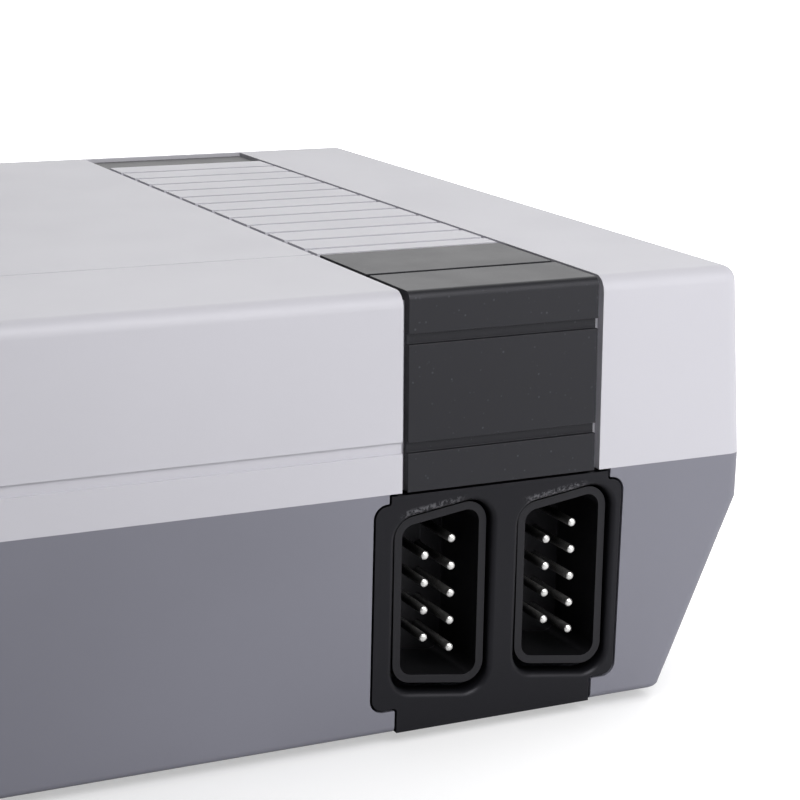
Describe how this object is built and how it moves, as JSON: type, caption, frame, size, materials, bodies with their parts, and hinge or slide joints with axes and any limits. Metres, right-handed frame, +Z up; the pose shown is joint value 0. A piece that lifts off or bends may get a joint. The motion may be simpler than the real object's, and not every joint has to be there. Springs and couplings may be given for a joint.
{
  "type": "game console",
  "caption": "Small two-tone console with a ribbed channel, upright D-shaped controller sockets, push controls and rear round sockets.",
  "frame": {"origin": "on the ground plane under the middle of the bounding box", "axes": "+X to the console's right seen from the front, +Y to the rear sockets, +Z up"},
  "size_m": [0.123, 0.1046, 0.0445],
  "materials": {
    "shell_light": "fine satin grain",
    "shell_grey": "fine satin grain",
    "black_plastic": "fine speckled satin",
    "panel_black": "smooth satin, rubbed at the rims",
    "socket_black": "smooth satin",
    "contact_nickel": "bright nickel plate",
    "board_green": "solder mask",
    "screw_steel": "zinc plate",
    "button_grey": "satin",
    "switch_plastic": "moulded",
    "lamp_red": "clear tinted epoxy",
    "chip_resin": "poured resin",
    "can_metal": "satin can",
    "capacitor_sleeve": "shrink sleeve",
    "regulator_black": "moulded epoxy",
    "jack_yellow": "moulded",
    "jack_white": "moulded",
    "ribbon_grey": "ribbed flat cable",
    "foot_rubber": "matte"
  },
  "bodies": {
    "console": {"upper_shell": "shell_light", "lower_shell": "shell_grey", "trim_strip": "black_plastic", "rear_trim": "black_plastic", "port_panel": "panel_black", "port_housing_left": "socket_black", "port_pins_left": "contact_nickel", "port_housing_right": "socket_black", "port_pins_right": "contact_nickel", "port_board": "board_green", "port_board_screws": "screw_steel", "control_bezel": "black_plastic", "power_switch": "switch_plastic", "reset_switch": "switch_plastic", "power_led": "lamp_red", "led_leads": "contact_nickel", "switch_board": "board_green", "switch_board_screws": "screw_steel", "main_board": "board_green", "main_board_screws": "screw_steel", "console_chip": "chip_resin", "memory_chip": "chip_resin", "crystal": "can_metal", "capacitors": "capacitor_sleeve", "regulator": "regulator_black", "video_jack": "jack_yellow", "audio_jack": "jack_white", "jack_sleeves": "contact_nickel", "jack_contacts": "contact_nickel", "power_jack": "socket_black", "power_jack_pin": "contact_nickel", "port_ribbon": "ribbon_grey", "switch_ribbon": "ribbon_grey", "case_screws": "screw_steel", "feet": "foot_rubber"},
    "power_button": {"power_button": "button_grey", "power_plunger": "switch_plastic"},
    "reset_button": {"reset_button": "button_grey", "reset_plunger": "switch_plastic"}
  },
  "joints": [
    {"name": "power_press", "type": "slide", "parent": "console", "child": "power_button", "axis": [0, 1, 0], "range_m": [0, 0.002]},
    {"name": "reset_press", "type": "slide", "parent": "console", "child": "reset_button", "axis": [0, 1, 0], "range_m": [0, 0.0015], "stiffness_N_per_m": 600, "springref_m": -0.0005}
  ]
}
